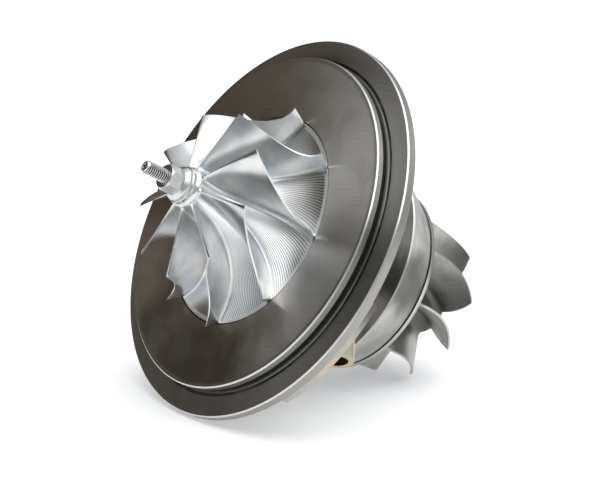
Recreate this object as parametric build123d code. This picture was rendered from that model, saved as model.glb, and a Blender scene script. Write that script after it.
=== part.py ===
from build123d import *
import math
import os

os.makedirs("parts", exist_ok=True)

# Turbocharger cartridge, in millimetres. +Y runs along the shaft from the compressor's nose to the
# turbine, +Z is up, and the origin is on the shaft's axis in the plane of the compressor flange's
# seating face. Angles are measured about +Y from +Z towards +X, in degrees.

# Compressor flange and pilot
flange_radius = 93.5
flange_thickness = 4.7
pilot_radius = 81.9
pilot_height = 7.0
pilot_land = 0.6
pilot_seal_groove_width = 3.2
pilot_seal_groove_depth = 2.2
pilot_seal_section = 2.1
edge_break = 0.6

# Housing casting
flange_cone_radius = 66.0
flange_cone_depth = 4.6
waist_radius = 40.0
waist_fillet = 9.0
clamp_face_relief = 0.4
clamp_face_margin = 0.8
turbine_end_place = 43.5
turbine_end_radius = 56.7
turbine_end_length = 22.9
turbine_nose_radius = 46.0
shield_land_radius = 43.4
shield_land_height = 0.6
rib_thickness = 6.0
rib_radius = 78.0
rib_reach = 13.0
rib_angles = (40, 75, 155, 205, 285, 320)

# Coolant ports, one each side of the casting
port_bore_radius = 4.5
port_bore_depth = 16.0
port_boss_radius = 7.2
port_place = 12.5
port_tilt = 31.0
port_offset = 41.0
port_reach = 78.5
port_root_reach = 12.0
port_waterway_radius = 3.4
port_waterway_end = 20.0
port_pad_start = 101.0
port_pad_end = 140.0
port_pad_thickness = 3.2
port_pad_width = 17.0
core_plug_radius = 8.0
core_plug_depth = 3.0
core_plug_wall = 1.0
core_plug_place = 33.0

# Oil inlet and drain pads
oil_pad_place = 28.0
inlet_bore_radius = 5.0
inlet_pad_height = 48.0
inlet_pad_radius = 9.0
inlet_bolt_spacing = 36.0
inlet_bolt_radius = 3.4
drain_bore_radius = 10.0
drain_pad_depth = 48.0
drain_pad_radius = 12.9
drain_bolt_spacing = 46.0
drain_bolt_radius = 4.2
pad_bolt_depth = 9.0
gallery_radius = 2.5
gallery_height = 24.0
feed_radius = 1.5
drain_room_height = 12.0
drain_room_width = 26.0
bearing_wall = 4.0

# Rotor stack along the shaft
stub_radius = 4.0
stud_radius = 3.175
stud_reach = 11.5
nut_hex_height = 6.7
nut_flange_height = 3.3
nut_flange_radius = 8.15
nut_across_flats = 11.1
journal_radius = 8.0
collar_radius = 15.0
collar_thickness = 3.0
spacer_radius = 8.2
sleeve_radius = 9.0
sleeve_length = 9.0
flinger_radius = 16.0
flinger_thickness = 2.0
thrust_plate_thickness = 5.0
thrust_plate_radius = 30.0
thrust_float = 0.1
dowel_radius = 1.5
dowel_sink = 4.0
dowel_angle = 60.0
dowel_circle = 25.0
seal_hub_radius = 12.6
piston_ring_width = 1.5
piston_ring_depth = 1.6
piston_ring_gap = 6.0
piston_ring_spacing = 1.2
seal_bore_length = 6.3
seal_bore_gap = 0.4
seal_groove_setback = 0.8

# Seal plate behind the compressor wheel
seal_plate_radius = 42.0
seal_plate_depth = 9.6
seal_plate_step = 2.6
seal_plate_bore_radius = 9.3
plate_seal_groove_width = 2.8
plate_seal_groove_depth = 1.9
plate_seal_section = 1.85
plate_ring_thickness = 1.6
plate_ring_width = 5.0
plate_ring_bite = 1.8
plate_ring_gap = 16.0
plate_ring_lug_angle = 3.5
plate_step_gap = 1.6
skirt_width = 4.5
deflector_thickness = 1.0

# Floating journal bearings
bearing_outer_radius = 12.5
bearing_length = 10.0
bearing_spread = 23.6
bearing_place = 20.0
bearing_ring_margin = 0.8
bearing_ring_thickness = 1.1
bearing_ring_bite = 1.0
bearing_ring_width = 2.9
bearing_ring_gap = 30.0
bearing_end_gap = 0.2
bearing_relief = 3.0

# Compressor wheel
compressor_blades = 9
compressor_disc_radius = 50.8
compressor_disc_recess = 0.3
compressor_disc_thickness = 2.2
compressor_tip_radius = 55.05
compressor_tip_width = 7.2
compressor_inducer_radius = 40.2
compressor_inducer_place = 33.8
compressor_shroud_lift = 1.22
compressor_shroud_flare = 1.49
compressor_wheel_height = 42.4
compressor_nose_radius = 8.8
compressor_root_radius = 9.8
compressor_root_setback = 3.4
compressor_hub_reach = 5.3
compressor_hub_radius = 12.0
compressor_first_angle = 250.4
compressor_tip_wrap = 37.7
compressor_root_wrap = 40.3
compressor_tip_turn = (1.88, -0.81, -0.07)
compressor_root_turn = (1.6, -1.1, 0.5)
compressor_root_thickness = 2.4
compressor_edge_thickness = 0.9

# Turbine wheel
turbine_blades = 9
turbine_inducer_radius = 40.5
turbine_inducer_width = 5.4
turbine_disc_radius = 39.6
turbine_disc_thickness = 1.6
turbine_scallop_radius = 10.5
turbine_scallop_place = 45.0
turbine_shroud_radius = 40.15
turbine_shroud_bow = 0.64
turbine_exducer_radius = 36.95
turbine_exducer_place = 37.6
turbine_hub_radius = 13.0
turbine_hub_place = 42.0
turbine_nose_flats = 17.0
turbine_nose_length = 5.0
turbine_first_angle = 15.3
turbine_wrap = 21.0
turbine_root_thickness = 3.6
turbine_edge_thickness = 1.3

# Running and seating clearances
fit_gap = 0.02
running_gap = 0.05
seal_gap = 0.3
wheel_gap = 0.7
wheel_side_gap = 0.8
shield_thickness = 1.0
shield_dish = 0.8
shield_gap = 2.0
blade_root_sink = 1.2
blade_stations = 6

port_pad_inner = flange_radius - port_pad_width
clamp_face_inner = waist_radius + waist_fillet + clamp_face_margin

# Places along the shaft, each from the one before it
disc_front = -pilot_height + compressor_disc_recess
disc_back = disc_front + compressor_disc_thickness
recess_floor = disc_back + wheel_gap
wheel_nose = disc_front - compressor_wheel_height
hub_back = disc_back + compressor_hub_reach
plate_floor = recess_floor + seal_plate_depth
sleeve_end = hub_back + sleeve_length
thrust_front = sleeve_end + thrust_float
thrust_floor = thrust_front + thrust_plate_thickness
collar_front = thrust_floor + thrust_float
shoulder = collar_front + collar_thickness
deflector_front = thrust_front - deflector_thickness
ring_pitch = bearing_ring_thickness + bearing_end_gap
first_bearing = bearing_place + bearing_ring_margin + ring_pitch
second_bearing = first_bearing + bearing_spread
bearing_bore_end = second_bearing + bearing_length + ring_pitch + bearing_ring_margin
housing_rear = turbine_end_place + turbine_end_length
shield_seat = housing_rear + shield_land_height
turbine_front = shield_seat + shield_thickness + shield_gap
seal_bore_radius = seal_hub_radius + seal_bore_gap
seal_bore_start = shield_seat - seal_bore_length
hub_start = seal_bore_start - seal_groove_setback
plate_ring_inner = seal_plate_radius + plate_ring_bite - fit_gap - plate_ring_width
lug_radius = plate_ring_width / 2
lug_circle = plate_ring_inner + lug_radius * 0.6
seal_plate_step_radius = lug_circle - lug_radius - plate_step_gap


def turned(*corners):
    """Solid of revolution about the shaft from (radius, place) corners."""
    return revolve(make_face(Polyline(*corners, close=True)), Axis.Y)


def tube(inner, outer, start, end):
    """Plain ring about the shaft."""
    return turned((inner, start), (outer, start), (outer, end), (inner, end))


def bar(radius, start, end):
    """Plain cylinder on the shaft's axis."""
    return turned((0, start), (radius, start), (radius, end), (0, end))


def direction(angle):
    """Unit vector square to the shaft at an angle."""
    return Vector(math.sin(math.radians(angle)), 0, math.cos(math.radians(angle)))


def around(solid, angle):
    """Copy of a solid turned about the shaft."""
    return Rot(0, angle, 0) * solid


def rod(centre, axis, radius, length):
    """Cylinder from a centre point, along an axis."""
    plane = Plane(origin=centre, z_dir=axis)
    return plane * Cylinder(radius, length, align=(Align.CENTER, Align.CENTER, Align.MIN))


def sector(inner, outer, start, end, first, last):
    """Part of a ring between two angles."""
    face = make_face(Polyline((inner, start), (outer, start), (outer, end), (inner, end), close=True))
    turned_part = revolve(face, Axis.Y, revolution_arc=last - first)
    return around(turned_part, first - 90)


def save(shape, node):
    """Write one node."""
    export_step(shape, "parts/" + node + ".step")


# Bladed wheels

def ellipse_quarter(start, end, share, leaves_axially):
    """Point on a quarter ellipse from start to end that leaves along the shaft or square to it."""
    angle = share * math.pi / 2
    along = math.sin(angle)
    rest = 1 - math.cos(angle)
    if leaves_axially:
        return (start[0] + (end[0] - start[0]) * rest, start[1] + (end[1] - start[1]) * along)
    return (start[0] + (end[0] - start[0]) * along, start[1] + (end[1] - start[1]) * rest)


def spot(point, angle):
    """Place in space of a (radius, place) point at an angle about the shaft."""
    return direction(angle) * point[0] + Vector(0, point[1], 0)


def blade(root_at, tip_at, thickness_at):
    """Blade lofted through thin four-sided sections from the leading to the trailing edge.

    root_at and tip_at give the mean surface's two ends at a share of the way, and thickness_at
    gives the thickness at both ends.
    """
    sections = []
    for station in range(blade_stations):
        share = station / (blade_stations - 1)
        root = root_at(share)
        tip = tip_at(share)
        before = max(share - 0.02, 0)
        after = min(share + 0.02, 1)
        along = (root_at(after) + tip_at(after)) - (root_at(before) + tip_at(before))
        span = (tip - root).normalized()
        across = along.cross(span).normalized()
        length = (tip - root).length
        root_half, tip_half = (value / 2 for value in thickness_at(share))
        section = Polygon(
            (-blade_root_sink, -root_half),
            (length, -tip_half),
            (length, tip_half),
            (-blade_root_sink, root_half),
            align=None,
        )
        sections.append(Plane(origin=root, x_dir=span, z_dir=span.cross(across)) * section)
    return loft(sections)


def curve_points(start, end, leaves_axially, count=8):
    """Points of a hub curve, from start to end."""
    return [ellipse_quarter(start, end, step / count, leaves_axially) for step in range(count + 1)]


def turn(powers, share):
    """Share of a blade's wrap at a share of the way, from the weights of its first three powers."""
    return powers[0] * share + powers[1] * share**2 + powers[2] * share**3


def compressor_wheel():
    """Nine full blades on a flared hub, with tips that stand out past the disc."""
    root_start = (compressor_root_radius, wheel_nose + compressor_root_setback)
    root_end = (compressor_disc_radius, disc_front)
    tip_start = (compressor_inducer_radius, disc_front - compressor_inducer_place)
    tip_end = (compressor_tip_radius, disc_front - compressor_tip_width)
    bore = stub_radius + fit_gap

    def root_at(share):
        angle = compressor_first_angle + compressor_root_wrap * turn(compressor_root_turn, share)
        return spot(ellipse_quarter(root_start, root_end, share, True), angle)

    def tip_at(share):
        angle = compressor_first_angle + compressor_tip_wrap * turn(compressor_tip_turn, share)
        run = math.sin(share * math.pi / 2) ** compressor_shroud_lift
        flare_out = (1 - math.cos(share * math.pi / 2)) ** compressor_shroud_flare
        radius = tip_start[0] + (tip_end[0] - tip_start[0]) * flare_out
        return spot((radius, tip_start[1] + (tip_end[1] - tip_start[1]) * run), angle)

    def thickness_at(share):
        swell = 0.55 + 0.45 * math.sin(math.pi * share)
        return compressor_root_thickness * swell, compressor_edge_thickness

    flare = Spline(*curve_points(root_start, root_end, True), tangents=((0, 1), (1, 0)))
    nose = Polyline(
        (bore, hub_back),
        (bore, wheel_nose),
        (compressor_nose_radius, wheel_nose),
        (compressor_nose_radius, wheel_nose + compressor_root_setback / 2),
        root_start,
    )
    back = Polyline(
        root_end,
        (compressor_disc_radius, disc_back),
        (compressor_hub_radius + wheel_gap / 2, disc_back),
        (compressor_hub_radius, disc_back + wheel_gap / 2),
        (compressor_hub_radius, hub_back),
        (bore, hub_back),
    )
    wheel = revolve(make_face([nose, flare, back]), Axis.Y)
    one = blade(root_at, tip_at, thickness_at)
    one -= bar(bore + 1, wheel_nose - 1, hub_back)
    pitch = 360 / compressor_blades
    return wheel + [around(one, pitch * number) for number in range(compressor_blades)]


def turbine_wheel():
    """Nine blades, radial at the rim and curled at the outlet, on a scalloped disc."""
    rim_root = (turbine_inducer_radius, turbine_front + turbine_disc_thickness)
    hub_end = (turbine_hub_radius, turbine_front + turbine_hub_place)
    disc_edge = (turbine_disc_radius, turbine_front + turbine_disc_thickness)
    curl_start = rim_root[1] + turbine_inducer_width
    curl_length = turbine_front + turbine_exducer_place - curl_start

    def curl_at(place):
        return turbine_first_angle + turbine_wrap * max((place - curl_start) / curl_length, 0) ** 3

    def root_at(share):
        point = ellipse_quarter(rim_root, hub_end, share, False)
        return spot(point, curl_at(point[1]))

    def tip_at(share):
        place = curl_start + curl_length * share
        drop = turbine_shroud_radius - turbine_exducer_radius
        radius = turbine_exducer_radius + drop * (1 - share) ** turbine_shroud_bow
        return spot((radius, place), curl_at(place))

    def thickness_at(share):
        root = turbine_root_thickness * (0.45 + 0.55 * math.sin(math.pi * min(share + 0.15, 1)))
        return root, turbine_edge_thickness

    flare = Spline(*curve_points(disc_edge, hub_end, False), tangents=((-1, 0), (0, 1)))
    front = Polyline(
        (0, hub_end[1]),
        (0, turbine_front),
        (turbine_disc_radius, turbine_front),
        disc_edge,
    )
    wheel = revolve(make_face([front, flare, Line(hub_end, (0, hub_end[1]))]), Axis.Y)
    pitch = 360 / turbine_blades
    scallop_height = turbine_disc_thickness + turbine_inducer_width
    for number in range(turbine_blades):
        angle = turbine_first_angle + pitch * (number + 0.5)
        centre = spot((turbine_scallop_place, turbine_front - 1), angle)
        wheel -= rod(centre, (0, 1, 0), turbine_scallop_radius, scallop_height)
    one = blade(root_at, tip_at, thickness_at)
    nose_plane = Plane(origin=(0, hub_end[1], 0), z_dir=(0, 1, 0))
    nose = extrude(nose_plane * RegularPolygon(turbine_nose_flats / 2, 6, major_radius=False),
                   turbine_nose_length)
    wheel += nose
    return wheel + [around(one, pitch * number) for number in range(turbine_blades)]


# Housing

def pad(height, radius, spacing, toward):
    """Oval machined pad on the casting, above or below the shaft."""
    plane = Plane(origin=(0, oil_pad_place, 0), x_dir=(1, 0, 0), z_dir=(0, 0, toward))
    return extrude(plane * SlotCenterToCenter(spacing, 2 * radius), height)


def pad_bolts(height, radius, spacing, toward):
    """The pad's pair of bolt holes."""
    holes = []
    for side in (-1, 1):
        mouth = Vector(side * spacing / 2, oil_pad_place, toward * height)
        holes.append(rod(mouth, (0, 0, -toward), radius, pad_bolt_depth))
    return holes


def port_frame(side):
    """Foot and direction of a coolant port's axis, on the +X or -X side."""
    out = Vector(side * math.sin(math.radians(port_tilt)), 0, -math.cos(math.radians(port_tilt)))
    foot = Vector(side * math.cos(math.radians(port_tilt)), 0, math.sin(math.radians(port_tilt)))
    return foot * port_offset + Vector(0, port_place, 0), out


def housing_outside():
    """The casting's turned flange, waist and tapered turbine end, with its pads, ports and ribs."""
    groove_front = -pilot_land - pilot_seal_groove_width
    groove_radius = pilot_radius - pilot_seal_groove_depth
    cone_end = flange_thickness + flange_cone_depth
    body = turned(
        (0, recess_floor),
        (compressor_disc_radius + wheel_side_gap, recess_floor),
        (compressor_disc_radius + wheel_side_gap, -pilot_height),
        (pilot_radius - edge_break, -pilot_height),
        (pilot_radius, -pilot_height + edge_break),
        (pilot_radius, groove_front),
        (groove_radius, groove_front),
        (groove_radius, -pilot_land),
        (pilot_radius, -pilot_land),
        (pilot_radius, 0),
        (flange_radius - edge_break, 0),
        (flange_radius, edge_break),
        (flange_radius, flange_thickness - edge_break / 2),
        (flange_radius - edge_break / 2, flange_thickness),
        (port_pad_inner, flange_thickness),
        (flange_cone_radius, cone_end),
        (waist_radius, cone_end),
        (waist_radius, turbine_end_place + clamp_face_relief),
        (clamp_face_inner, turbine_end_place + clamp_face_relief),
        (clamp_face_inner, turbine_end_place),
        (turbine_end_radius - edge_break, turbine_end_place),
        (turbine_end_radius, turbine_end_place + edge_break),
        (turbine_nose_radius, housing_rear - edge_break / 2),
        (turbine_nose_radius - edge_break / 2, housing_rear),
        (shield_land_radius, housing_rear),
        (shield_land_radius, shield_seat),
        (0, shield_seat),
    )
    waist_edges = body.edges().filter_by(GeomType.CIRCLE).filter_by(
        lambda edge: abs(edge.radius - waist_radius) < 0.01
    )
    body = fillet(waist_edges, waist_fillet)
    rib_start = flange_thickness + 0.5
    rib_end = cone_end + rib_reach
    for angle in rib_angles:
        face = make_face(Polyline(
            (waist_radius - 3, rib_start),
            (rib_radius, rib_start),
            (flange_cone_radius, cone_end - 0.5),
            (waist_radius - 3, rib_end),
            close=True,
        ))
        rib = extrude(face, rib_thickness / 2, both=True)
        body += around(rib, angle - 90)
    body += sector(flange_radius - port_pad_width, flange_radius - edge_break / 2, flange_thickness - 1,
                   flange_thickness + port_pad_thickness, port_pad_start, port_pad_end)
    for side in (-1, 1):
        foot, out = port_frame(side)
        body += rod(foot + out * port_root_reach, out, port_boss_radius, port_reach - port_root_reach)
    body += pad(inlet_pad_height, inlet_pad_radius, inlet_bolt_spacing, 1)
    body += pad(drain_pad_depth, drain_pad_radius, drain_bolt_spacing, -1)
    return body


def housing_inside():
    """Everything that is bored out of the casting."""
    thrust_room = thrust_plate_radius + fit_gap
    plate_room = seal_plate_radius + fit_gap
    ring_front = recess_floor + seal_plate_step - plate_ring_thickness
    room_depth = bearing_outer_radius + bearing_wall
    cuts = [
        bar(plate_room, recess_floor - 1, plate_floor),
        bar(seal_plate_radius + plate_ring_bite, ring_front - fit_gap, recess_floor + seal_plate_step + fit_gap),
        bar(thrust_room, plate_floor - 1, thrust_floor),
        bar(collar_radius + 1.5, thrust_floor - 1, bearing_place),
        bar(bearing_outer_radius, bearing_place - 1, bearing_bore_end),
        bar(bearing_outer_radius + bearing_relief / 2, first_bearing + bearing_length + bearing_relief,
            second_bearing - bearing_relief),
        bar(seal_bore_radius + 3.5, bearing_bore_end, seal_bore_start),
        bar(seal_bore_radius, seal_bore_start - 1, shield_seat + 1),
    ]
    for start in ring_places():
        cuts.append(bar(bearing_outer_radius + bearing_ring_bite, start - fit_gap,
                        start + bearing_ring_thickness + fit_gap))
    inlet_top = Vector(0, oil_pad_place, inlet_pad_height)
    cuts.append(rod(inlet_top, (0, 0, -1), inlet_bore_radius, inlet_pad_height - gallery_height))
    gallery_end = second_bearing + bearing_length / 2 + gallery_radius
    gallery_start = Vector(0, thrust_floor - 1, gallery_height)
    cuts.append(rod(gallery_start, (0, 1, 0), gallery_radius, gallery_end - thrust_floor + 1))
    for start in (first_bearing, second_bearing):
        feed = Vector(0, start + bearing_length / 2, gallery_height)
        cuts.append(rod(feed, (0, 0, -1), feed_radius, gallery_height))
    drain_mouth = Vector(0, oil_pad_place, -drain_pad_depth)
    cuts.append(rod(drain_mouth, (0, 0, 1), drain_bore_radius, drain_pad_depth - room_depth - 2))
    room_length = seal_bore_start - thrust_floor + 1
    room = Box(drain_room_width, room_length, drain_room_height)
    cuts.append(Pos(0, seal_bore_start - room_length / 2, -room_depth - drain_room_height / 2)
                * fillet(room.edges().filter_by(Axis.Y), drain_room_height / 3))
    middle = (first_bearing + bearing_length + second_bearing) / 2
    cuts.append(rod((0, middle, 0), (0, 0, -1), inlet_bore_radius, room_depth + 2))
    rear_slot = Box(drain_room_width / 2, seal_bore_start - bearing_bore_end, room_depth)
    cuts.append(Pos(0, (seal_bore_start + bearing_bore_end) / 2, -room_depth / 2 - 2) * rear_slot)
    cuts += pad_bolts(inlet_pad_height, inlet_bolt_radius, inlet_bolt_spacing, 1)
    cuts += pad_bolts(drain_pad_depth, drain_bolt_radius, drain_bolt_spacing, -1)
    for side in (-1, 1):
        foot, out = port_frame(side)
        mouth = foot + out * port_reach
        cuts.append(rod(mouth, out * -1, port_bore_radius, port_bore_depth))
        cuts.append(rod(mouth, out * -1, port_waterway_radius, port_reach - port_waterway_end))
        plug_mouth = Vector(side * (waist_radius + 1), core_plug_place, 0)
        cuts.append(rod(plug_mouth, (-side, 0, 0), core_plug_radius, core_plug_depth + 3))
    for pin in dowel_places():
        cuts.append(rod(pin, (0, 1, 0), dowel_radius + fit_gap, thrust_plate_thickness + dowel_sink))
    return cuts


def ring_places():
    """Front faces of the four retaining rings beside the journal bearings."""
    places = []
    for start in (first_bearing, second_bearing):
        places.append(start - ring_pitch)
        places.append(start + bearing_length + bearing_end_gap)
    return places


def dowel_places():
    """Front ends of the thrust bearing's two locating pins."""
    return [spot((dowel_circle, thrust_front), side * dowel_angle) for side in (-1, 1)]


def bearing_housing():
    """The casting as machined."""
    return housing_outside() - housing_inside()


def core_plugs():
    """Pressed cups that close the casting's core holes, one each side."""
    cups = []
    floor = waist_radius + 1 - core_plug_depth - 3
    for side in (-1, 1):
        seat = Vector(side * floor, core_plug_place, 0)
        cup = rod(seat, (side, 0, 0), core_plug_radius - fit_gap, core_plug_depth)
        hollow = rod(seat + Vector(side * core_plug_wall, 0, 0), (side, 0, 0),
                     core_plug_radius - core_plug_wall, core_plug_depth)
        cups.append(cup - hollow)
    return Compound(cups)


# Rings and seals

def seal_ring(radius, place, section):
    """Round-section rubber ring."""
    plane = Plane(origin=(radius, place, 0), z_dir=(0, 0, 1))
    return revolve(plane * Circle(section / 2), Axis.Y)


def split_ring(inner, outer, start, thickness, gap, angle):
    """Flat ring with a gap, given as an angle about the gap's middle."""
    return sector(inner, outer, start, start + thickness, angle + gap / 2, angle + 360 - gap / 2)


def seal_plate_ring():
    """Internal retaining ring with a lug each side of its gap."""
    outer = plate_ring_inner + plate_ring_width
    start = recess_floor + seal_plate_step - plate_ring_thickness
    ring = split_ring(plate_ring_inner, outer, start, plate_ring_thickness, plate_ring_gap, 180)
    lugs = [180 + side * (plate_ring_gap / 2 + plate_ring_lug_angle) for side in (-1, 1)]
    for angle in lugs:
        ring += rod(spot((lug_circle, start), angle), (0, 1, 0), lug_radius, plate_ring_thickness)
    for angle in lugs:
        ring -= rod(spot((lug_circle, start - 1), angle), (0, 1, 0), lug_radius / 2.5,
                    plate_ring_thickness + 2)
    return ring


# Seal plate, thrust parts and bearings

def seal_plate():
    """Insert behind the compressor wheel that carries the shaft's front piston ring."""
    groove_middle = (recess_floor + seal_plate_step + plate_floor) / 2
    groove_start = groove_middle - plate_seal_groove_width / 2
    groove_end = groove_middle + plate_seal_groove_width / 2
    groove_floor = seal_plate_radius - plate_seal_groove_depth
    skirt_outer = thrust_plate_radius - seal_gap
    return turned(
        (compressor_hub_radius + 1, recess_floor),
        (seal_plate_step_radius, recess_floor),
        (seal_plate_step_radius, recess_floor + seal_plate_step),
        (seal_plate_radius, recess_floor + seal_plate_step),
        (seal_plate_radius, groove_start),
        (groove_floor, groove_start),
        (groove_floor, groove_end),
        (seal_plate_radius, groove_end),
        (seal_plate_radius, plate_floor),
        (skirt_outer, plate_floor),
        (skirt_outer, deflector_front),
        (skirt_outer - skirt_width, deflector_front),
        (skirt_outer - skirt_width, plate_floor - 1),
        (seal_plate_bore_radius, plate_floor - 1),
        (seal_plate_bore_radius, hub_back + 0.6),
        (compressor_hub_radius + 1, hub_back + 0.6),
    )


def flinger_sleeve():
    """Rotating sleeve with the piston ring's groove and the oil flinger."""
    bore = stub_radius + fit_gap
    groove = hub_back + piston_ring_spacing
    return turned(
        (bore, hub_back),
        (sleeve_radius, hub_back),
        (sleeve_radius, groove),
        (sleeve_radius - piston_ring_depth, groove),
        (sleeve_radius - piston_ring_depth, groove + piston_ring_width + 2 * thrust_float),
        (sleeve_radius, groove + piston_ring_width + 2 * thrust_float),
        (sleeve_radius, sleeve_end - flinger_thickness - 1),
        (sleeve_radius + 1, sleeve_end - flinger_thickness),
        (flinger_radius, sleeve_end - flinger_thickness),
        (flinger_radius, sleeve_end),
        (bore, sleeve_end),
    )


def front_piston_ring():
    """Cast iron ring sprung into the seal plate's bore."""
    inner = sleeve_radius - piston_ring_depth + seal_gap
    start = hub_back + piston_ring_spacing + thrust_float
    return split_ring(inner, seal_plate_bore_radius - fit_gap, start, piston_ring_width,
                      piston_ring_gap, 0)


def rear_piston_rings():
    """Two rings sprung into the turbine end's bore."""
    inner = seal_hub_radius - piston_ring_depth + seal_gap
    rings = []
    for number, start in enumerate(rear_groove_places()):
        ring = split_ring(inner, seal_bore_radius - fit_gap, start + thrust_float, piston_ring_width,
                          piston_ring_gap, 180 * number)
        rings.append(ring)
    return Compound(rings)


def rear_groove_places():
    """Front walls of the two grooves in the shaft's seal hub."""
    first = seal_bore_start + seal_groove_setback
    return [first, first + piston_ring_width + piston_ring_spacing]


def thrust_bearing():
    """Bronze plate with oil grooves on both faces and a drain notch below."""
    plate = tube(spacer_radius + 0.8, thrust_plate_radius, thrust_front, thrust_floor)
    groove_depth = 0.4
    for number in range(4):
        for face in (thrust_front, thrust_floor):
            groove = Box(1.6, 2 * groove_depth, collar_radius)
            middle = direction(45 + 90 * number) * (collar_radius / 2 + 1) + Vector(0, face, 0)
            plate -= Pos(*middle) * Rot(0, 45 + 90 * number, 0) * groove
    notch = Box(drain_room_width, thrust_plate_thickness + 2, thrust_plate_radius / 2)
    notch_height = -thrust_plate_radius + thrust_plate_radius / 8
    plate -= Pos(0, thrust_front + thrust_plate_thickness / 2, notch_height) * notch
    for pin in dowel_places():
        plate -= rod(pin - Vector(0, 1, 0), (0, 1, 0), dowel_radius + fit_gap, thrust_plate_thickness + 2)
    return plate


def thrust_dowels():
    """Two pins that keep the thrust bearing from turning."""
    length = thrust_plate_thickness + dowel_sink
    return Compound([rod(pin, (0, 1, 0), dowel_radius, length) for pin in dowel_places()])


def oil_deflector():
    """Thin ring between the seal plate and the thrust bearing, open below."""
    ring = tube(flinger_radius + 1, thrust_plate_radius - seal_gap, deflector_front, thrust_front)
    notch = Box(drain_room_width, deflector_thickness + 2, thrust_plate_radius)
    return ring - Pos(0, (deflector_front + thrust_front) / 2, -thrust_plate_radius) * notch


def journal_bearing(start):
    """Floating bush with an outer oil groove and six radial holes."""
    inner = journal_radius + fit_gap
    outer = bearing_outer_radius - running_gap
    end = start + bearing_length
    bevel = 0.5
    bush = turned(
        (inner + bevel, start),
        (outer - bevel, start),
        (outer, start + bevel),
        (outer, end - bevel),
        (outer - bevel, end),
        (inner + bevel, end),
        (inner, end - bevel),
        (inner, start + bevel),
    )
    middle = (start + end) / 2
    bush -= tube(outer - 0.6, outer + 1, middle - 1.2, middle + 1.2)
    for number in range(6):
        bush -= rod((0, middle, 0), direction(60 * number), feed_radius * 0.8, outer + 1)
    return bush


def bearing_rings():
    """Four retaining rings that hold the journal bearings along the bore."""
    outer = bearing_outer_radius + bearing_ring_bite - fit_gap
    inner = outer - bearing_ring_width
    return Compound([
        split_ring(inner, outer, start, bearing_ring_thickness, bearing_ring_gap, 180)
        for start in ring_places()
    ])


# Rotor

def shaft():
    """Shaft from the threaded stud to the seal hub that the turbine wheel is welded to."""
    stud_end = wheel_nose - nut_flange_height - nut_hex_height - stud_reach
    relief_start = first_bearing + bearing_length + bearing_relief
    relief_end = second_bearing - bearing_relief
    relief = journal_radius - 0.5
    corners = [
        (0, stud_end),
        (stud_radius - 0.5, stud_end),
        (stud_radius, stud_end + 0.5),
        (stud_radius, wheel_nose + 1),
        (stub_radius, wheel_nose + 2),
        (stub_radius, shoulder),
        (journal_radius, shoulder),
        (journal_radius, relief_start),
        (relief, relief_start + 0.5),
        (relief, relief_end - 0.5),
        (journal_radius, relief_end),
        (journal_radius, hub_start - 1.5),
        (seal_hub_radius, hub_start),
    ]
    for start in rear_groove_places():
        end = start + piston_ring_width + 2 * thrust_float
        corners += [
            (seal_hub_radius, start),
            (seal_hub_radius - piston_ring_depth, start),
            (seal_hub_radius - piston_ring_depth, end),
            (seal_hub_radius, end),
        ]
    corners += [(seal_hub_radius, turbine_front), (0, turbine_front)]
    centre_hole = Pos(0, stud_end, 0) * Rot(-90, 0, 0) * Cone(1.3, 0.3, 1.6, align=(
        Align.CENTER, Align.CENTER, Align.MIN))
    return turned(*corners) - centre_hole


def compressor_nut():
    """Hexagon nut with a round flange, on the wheel's nose."""
    seat = wheel_nose - nut_flange_height
    top = seat - nut_hex_height
    plane = Plane(origin=(0, top, 0), z_dir=(0, 1, 0))
    hexagon = extrude(plane * RegularPolygon(nut_across_flats / 2, 6, major_radius=False),
                      nut_hex_height + 1)
    corner = nut_across_flats / math.sqrt(3)
    dome = turned((0, top), (nut_across_flats / 2, top), (corner, top + 1), (corner, seat + 1), (0, seat + 1))
    flange = turned(
        (0, seat + 0.6),
        (corner, seat + 0.2),
        (nut_flange_radius - 0.4, seat + 1.4),
        (nut_flange_radius, seat + 1.9),
        (nut_flange_radius, wheel_nose),
        (0, wheel_nose),
    )
    return (hexagon & dome) + flange - bar(stud_radius + fit_gap, top - 1, wheel_nose + 1)


def heat_shield():
    """Pressed steel disc with a raised middle, seated on the casting's rear land."""
    rear = shield_seat + shield_thickness
    inner = seal_bore_radius + 1
    outer = turbine_nose_radius + 0.3
    bend = shield_land_radius - 6
    return turned(
        (inner, shield_seat + shield_dish),
        (bend - 2, shield_seat + shield_dish),
        (bend, shield_seat),
        (outer, shield_seat),
        (outer, rear + shield_dish),
        (outer - shield_thickness, rear + shield_dish),
        (outer - shield_thickness, rear),
        (bend + 0.4, rear),
        (bend - 1.6, rear + shield_dish),
        (inner, rear + shield_dish),
    )


save(bearing_housing(), "bearing_housing")
save(core_plugs(), "core_plugs")
save(seal_ring(pilot_radius - pilot_seal_groove_depth + pilot_seal_section / 2 + fit_gap,
               -pilot_land - pilot_seal_groove_width / 2, pilot_seal_section), "flange_o_ring")
save(seal_plate(), "seal_plate")
save(seal_ring(seal_plate_radius - plate_seal_groove_depth + plate_seal_section / 2 + fit_gap,
               (recess_floor + seal_plate_step + plate_floor) / 2, plate_seal_section), "seal_plate_o_ring")
save(seal_plate_ring(), "seal_plate_retaining_ring")
save(oil_deflector(), "oil_deflector")
save(thrust_bearing(), "thrust_bearing")
save(thrust_dowels(), "thrust_dowels")
save(front_piston_ring(), "compressor_piston_ring")
save(rear_piston_rings(), "turbine_piston_rings")
save(bearing_rings(), "bearing_retaining_rings")
save(heat_shield(), "heat_shield")
save(journal_bearing(first_bearing), "compressor_journal_bearing")
save(journal_bearing(second_bearing), "turbine_journal_bearing")
save(shaft(), "shaft")
save(tube(stub_radius + fit_gap, collar_radius, collar_front, shoulder), "thrust_collar")
save(tube(stub_radius + fit_gap, spacer_radius, sleeve_end, collar_front), "thrust_spacer")
save(flinger_sleeve(), "flinger_sleeve")
save(compressor_wheel(), "compressor_wheel")
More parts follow.
